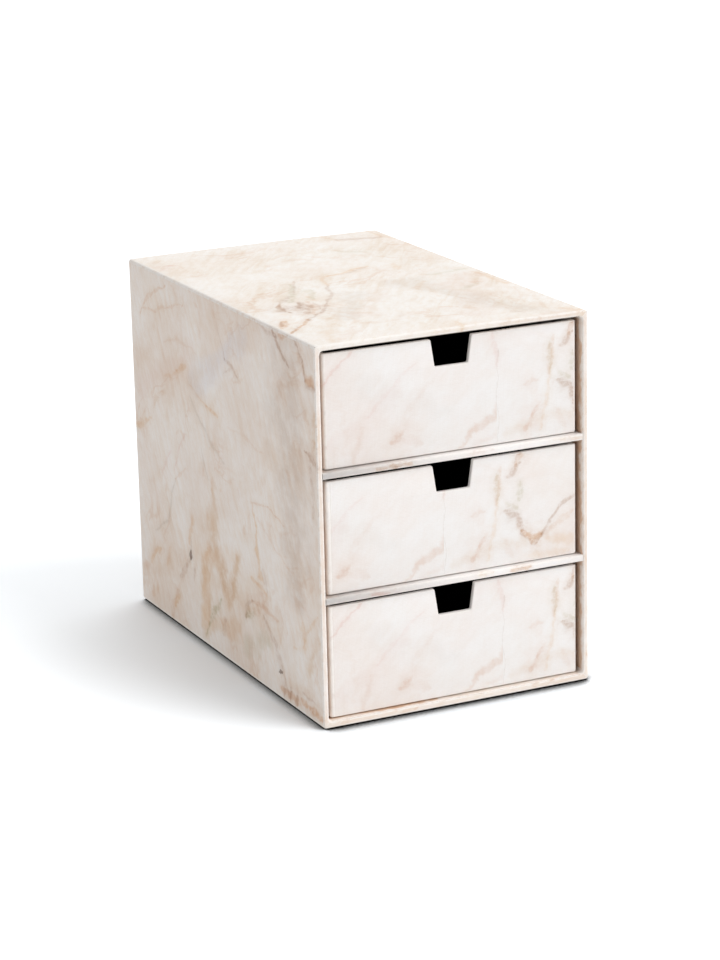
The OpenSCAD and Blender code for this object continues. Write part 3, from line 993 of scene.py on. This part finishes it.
def cutNotch(bm, look, low, high, innerY):
    # opens the front wall and its turned-in sheet, then folds paper across the cut board
    floorZ = high.z - look["notchDepth"]
    lean = (look["notchTop"] - look["notchFloor"]) / 2

    def cut(lowest, place, across):
        cutAcross(bm, partsIn(bm, lambda co: co.y < innerY + 1e-5 and co.z > lowest), place, across)

    cut(low.z - mm, (0, 0, floorZ), (0, 0, 1))
    for side in (-1, 1):
        cut(floorZ - 1e-5, (side * look["notchFloor"] / 2, 0, floorZ), (look["notchDepth"], 0, -side * lean))

    def inside(co, slack):
        half = look["notchFloor"] / 2 + (co.z - floorZ) / look["notchDepth"] * lean
        return co.y < innerY + 1e-5 and co.z > floorZ - slack and abs(co.x) < half + slack

    gone = [f for f in bm.faces if all(inside(v.co, 1e-5) for v in f.verts)]
    removeFaces(bm, gone)
    outline = [e for e in bm.edges if e.is_boundary and all(inside(v.co, 1e-5) for v in e.verts)
               and abs(e.verts[0].co.y - e.verts[1].co.y) < 1e-6]
    bmesh.ops.bridge_loops(bm, edges=outline)
    bmesh.ops.recalc_face_normals(bm, faces=bm.faces)
    folds = edgesAlong(bm, 1, lambda co: co.y < innerY and inside(co, 1e-5) and co.z > floorZ - 1e-5)
    rounded(bm, sharpOnes(folds, 0.5), look["notchCorner"], 3)
    edges = []
    for edge in sharpOnes(bm.edges, 1):
        flat = abs(edge.verts[0].co.y - edge.verts[1].co.y) < 1e-6
        atRim = all(abs(v.co.z - high.z) < 1e-6 for v in edge.verts)
        inNotch = flat and all(inside(v.co, look["notchCorner"] * 1.05) for v in edge.verts)
        if atRim or inNotch:
            edges.append(edge)
    rounded(bm, edges, look["rimRadius"], 3)


def lapSheet(bm, look, place, low):
    # a small step on the front where the end of the sheet lies over its beginning
    for shift in (0, look["lapWidth"]):
        cutAcross(bm, everything(bm), (place + shift, 0, 0), (1, 0, 0))
    for vert in bm.verts:
        if vert.co.y < low.y + 0.4 * mm and abs(vert.co.x - place) < 1e-5:
            vert.co.y += look["lapStep"]


def drawerUnfold(bay):
    low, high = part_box(bay + "_drawer_wrap")
    shift = drawerLook["printShift"][bay]

    def depthsOf(spot):
        return {"left": spot.x - low.x, "right": high.x - spot.x,
                "front": spot.y - low.y, "back": high.y - spot.y}

    def unfold(co, middle, normal):
        if normal.z < -0.9:
            return (co.x - shift, low.z - co.y + low.y)
        depths = depthsOf(middle)
        wall = min(depths, key=depths.get)
        around = {"left": low.x - (co.y - low.y), "right": high.x + co.y - low.y,
                  "front": co.x, "back": high.x + high.y - low.y + high.x - co.x}[wall]
        height = co.z - low.z
        if depths[wall] > drawerLook["skin"] and normal.z < 0.5:
            height = 2 * (high.z - low.z) - height
        return (around - shift, height + depthsOf(co)[wall])
    return unfold


for bay in bays:
    finishPiece(buildDrawerWrap(drawerLook, bay), bay + "_drawer_sheet", bay + "_drawer",
                [papers["drawer"]], [bay + "_drawer_wrap"], drawerUnfold(bay),
                thickness=drawerLook["paper"])
print("drawer sheets made")


# ---- materials of the carried-over nodes ----

for name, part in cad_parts.items():
    finish = None
    if name.endswith("_board"):
        finish = greyboard
    elif name.endswith(("_lining", "base_cover", "underside_cover")):
        finish = darkPaper
    if finish:
        part.data.materials.clear()
        part.data.materials.append(finish)
print("carried-over nodes finished")


# ---- floor, light and camera ----

stageLook = {
    "floorSize": 14.0,
    "floorWhite": 0.50,          # what the floor sends back on the object
    "floorGlow": 0.38,           # even light from the floor on the object
    "cameraWhite": (1.34, 1.385, 1.425, 1),      # how the camera sees it, so that the open floor is white
    "contactShadow": 13 * mm,          # reach of the painted contact shadow, a dark line where the box stands on the floor
    "contactLean": (0, 0.6, 0.8),      # the line is darkest along the front
    "contactDark": (0.45, 0.80),       # open share of the surroundings from black to no darkening
    "shade": 120 * mm,           # reach of the soft shade round the box
    "shadeDark": 0.50,           # what the shade would leave where nothing is open
    "worldStrength": 0.53,
}
lampLooks = {     # soft studio lamps: strength, width in degrees, and the direction that each shines from
    "front_lamp": {"strength": 1.63, "angle": 40, "direction": (0.507, -0.604, 0.616)},
    "back_lamp": {"strength": 0.62, "angle": 40, "direction": (0.321, 0.383, 0.866)},
}


def seenRays(tree):
    path = addNode(tree, "LightPath").outputs
    seen = calc(tree, "ADD", path["Is Camera Ray"], path["Is Glossy Ray"])
    return calc(tree, "ADD", seen, path["Is Transmission Ray"], clamp=True)


def makeFloor(look):
    bm = bmesh.new()
    bmesh.ops.create_grid(bm, x_segments=1, y_segments=1, size=look["floorSize"] / 2)
    mesh = bpy.data.meshes.new("studio_floor")
    bm.to_mesh(mesh)
    bm.free()
    floor = addObject("studio_floor", mesh)
    material, tree = startMaterial("studio_floor")
    tree.nodes.clear()
    seen = seenRays(tree)
    # painted shadow in the floor's colour as the camera sees it: a contact shadow along the box's foot,
    # darkest along the front, and a soft shade round the box
    lean = addNode(tree, "CombineXYZ", dict(enumerate(look["contactLean"]))).outputs[0]
    nearness = addNode(tree, "AmbientOcclusion", {"Distance": look["contactShadow"], "Normal": lean}, samples=8)
    contactShadow = ramp(tree, nearness.outputs["AO"], *look["contactDark"])
    around = addNode(tree, "AmbientOcclusion", {"Distance": look["shade"]}, samples=8)
    shade = ramp(tree, around.outputs["AO"], 0, 1, look["shadeDark"], 1.0, smooth=False)
    cameraWhite = blendColour(tree, product(tree, contactShadow, shade), "#000000", look["cameraWhite"])
    white = blendColour(tree, seen, [look["floorWhite"]] * 3 + [1], cameraWhite)
    diffuse = addNode(tree, "BsdfDiffuse", {"Color": white}).outputs[0]
    unseenGlow = ramp(tree, seen, 0, 1, look["floorGlow"], 0.0, smooth=False)
    glow = addNode(tree, "Emission", {"Color": "#FFFFFF", "Strength": unseenGlow}).outputs[0]
    both = addNode(tree, "AddShader", {0: diffuse, 1: glow}).outputs[0]
    addNode(tree, "OutputMaterial", {"Surface": both})
    mesh.materials.append(material)


def makeWorld(look):
    world = bpy.data.worlds.new("studio")
    bpy.context.scene.world = world
    world.use_nodes = True
    tree = world.node_tree
    tree.nodes.clear()
    seen = seenRays(tree)
    strength = ramp(tree, seen, 0, 1, look["worldStrength"], 1.0, smooth=False)
    sky = addNode(tree, "Background", {"Color": "#FFFFFF", "Strength": strength}).outputs[0]
    addNode(tree, "OutputWorld", {"Surface": sky})


def makeLamp(name, look):
    lamp = bpy.data.lights.new(name, "SUN")
    lamp.angle = math.radians(look["angle"])
    lamp.energy = look["strength"]
    light = addObject(name, lamp)
    towards = Vector(look["direction"]).normalized()
    light.rotation_euler = towards.to_track_quat("Z", "Y").to_euler()


cameraLook = {
    "place": (-0.6289, -1.3243, 0.5045),
    "azimuth": -25.55,
    "elevation": 16.02,
    "roll": -1.33,
    "lens": 113.5,
}


def makeCamera(look):
    azimuth, elevation, roll = (math.radians(look[k]) for k in ("azimuth", "elevation", "roll"))
    turn = Matrix.Rotation(azimuth, 4, "Z") @ Matrix.Rotation(math.pi / 2 - elevation, 4, "X")
    data = bpy.data.cameras.new("camera")
    data.lens = look["lens"]
    data.clip_start = 0.05
    camera = addObject("camera", data)
    camera.matrix_world = Matrix.Translation(look["place"]) @ turn @ Matrix.Rotation(roll, 4, "Z")
    bpy.context.scene.camera = camera


makeFloor(stageLook)
makeWorld(stageLook)
for name, look in lampLooks.items():
    makeLamp(name, look)
makeCamera(cameraLook)
bpy.context.scene.view_settings.view_transform = "Standard"
print("floor, lamps and camera made")
